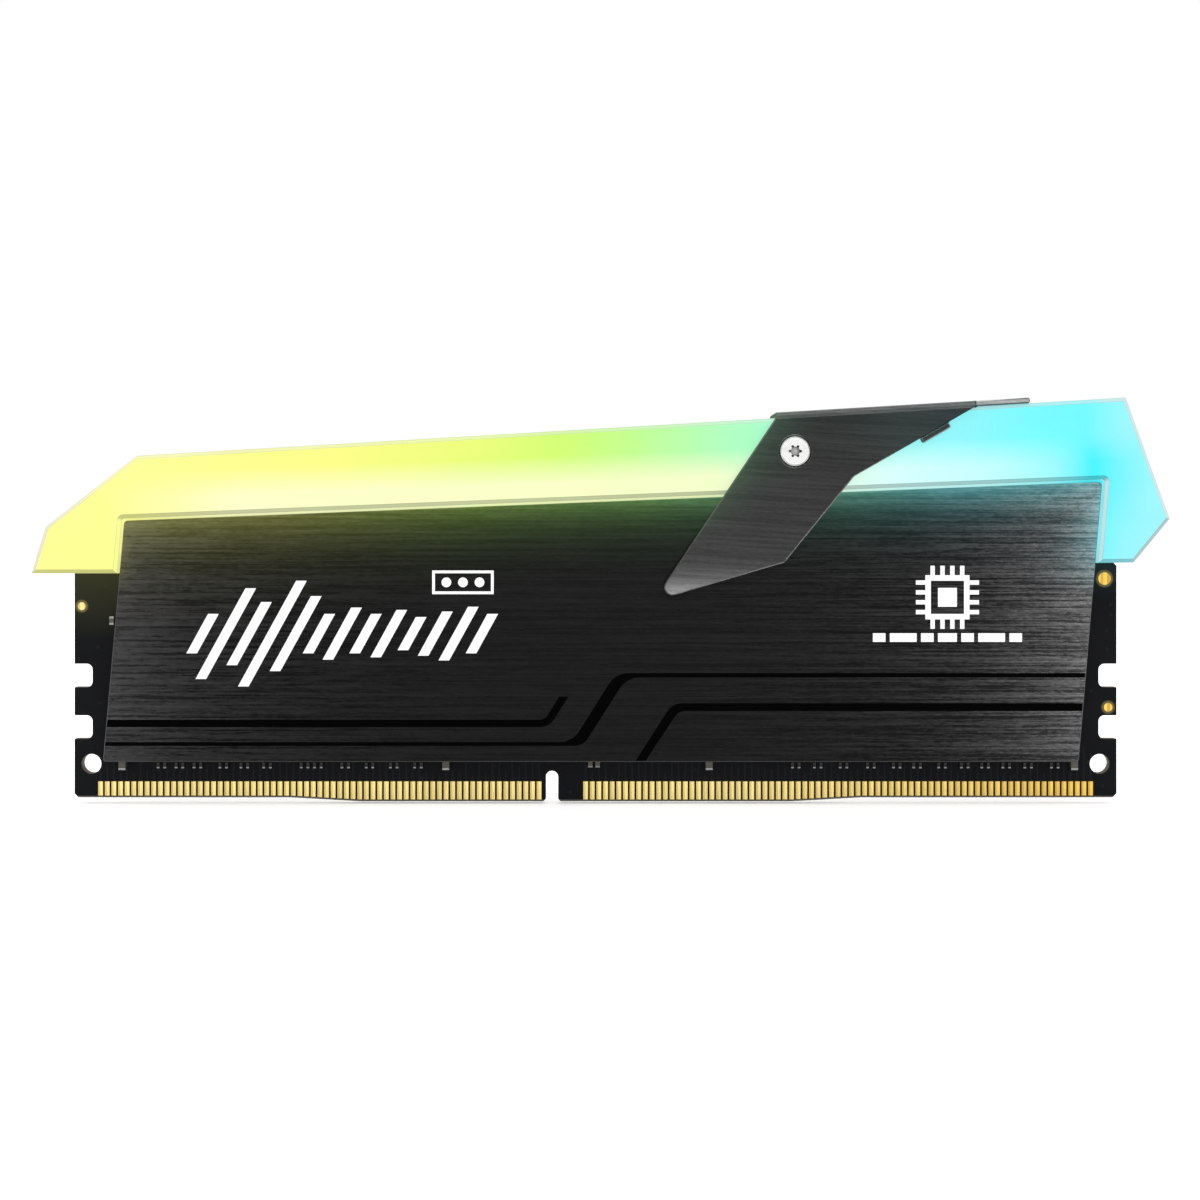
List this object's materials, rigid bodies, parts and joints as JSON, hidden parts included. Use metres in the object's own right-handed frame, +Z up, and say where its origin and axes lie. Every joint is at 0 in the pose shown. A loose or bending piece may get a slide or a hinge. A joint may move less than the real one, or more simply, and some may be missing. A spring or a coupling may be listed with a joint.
{
  "type": "ram module",
  "caption": "Desktop memory module: notched circuit board with gold edge contacts between dark metal heat spreaders, under a glowing light guide held by a folded trim clip.",
  "frame": {"origin": "middle of the card edge that enters the socket, halfway through the thickness of the circuit board", "axes": "+X along the board, from the short contact row to the long one as seen from the front; +Z up from the card edge to the light guide; the front face, with the short contact row on the left, faces -Y"},
  "size_m": [0.1443, 0.0086, 0.0515],
  "materials": {
    "pcb": "satin solder mask",
    "gold": "hard gold plating, satin",
    "chip_resin": "moulded epoxy, matt",
    "led_white": "matt white",
    "led_lens": "clear resin over phosphor",
    "capacitor_ceramic": "matt sintered ceramic",
    "solder": "tinned, satin",
    "resistor_ceramic": "matt overglaze",
    "thermal_pad": "matt silicone pad",
    "spreader_black": "black anodised, brushed lengthwise",
    "light_guide": "milky frosted acrylic, lit from below",
    "guide_tape": "thin adhesive tape",
    "clip_grey": "dark grey anodised, brushed, bright chamfer",
    "foam_tape": "black closed-cell foam",
    "screw_steel": "bright nickel plate, satin",
    "label_paper": "blank satin label stock",
    "print_black": "flat black screen print on the heat spreaders",
    "print_white": "flat white screen print on the heat spreaders"
  },
  "bodies": {
    "root": {"circuit_board": "pcb", "contacts_front": "gold", "contacts_back": "gold", "test_pads": "gold", "dram_chips_front": "chip_resin", "dram_chips_back": "chip_resin", "spd_chip": "chip_resin", "led_controller": "chip_resin", "led_housings": "led_white", "led_lenses": "led_lens", "capacitors_front": "capacitor_ceramic", "capacitors_back": "capacitor_ceramic", "capacitor_ends_front": "solder", "capacitor_ends_back": "solder", "resistors_front": "resistor_ceramic", "resistors_back": "resistor_ceramic", "resistor_ends_front": "solder", "resistor_ends_back": "solder", "thermal_pad_front": "thermal_pad", "thermal_pad_back": "thermal_pad", "heat_spreader_front": "spreader_black", "heat_spreader_back": "spreader_black", "light_guide": "light_guide", "guide_tape_front": "guide_tape", "guide_tape_back": "guide_tape", "trim_clip": "clip_grey", "trim_tape_front": "foam_tape", "trim_tape_back": "foam_tape", "clip_screw_front": "screw_steel", "clip_screw_back": "screw_steel", "rating_label": "label_paper"}
  },
  "joints": []
}
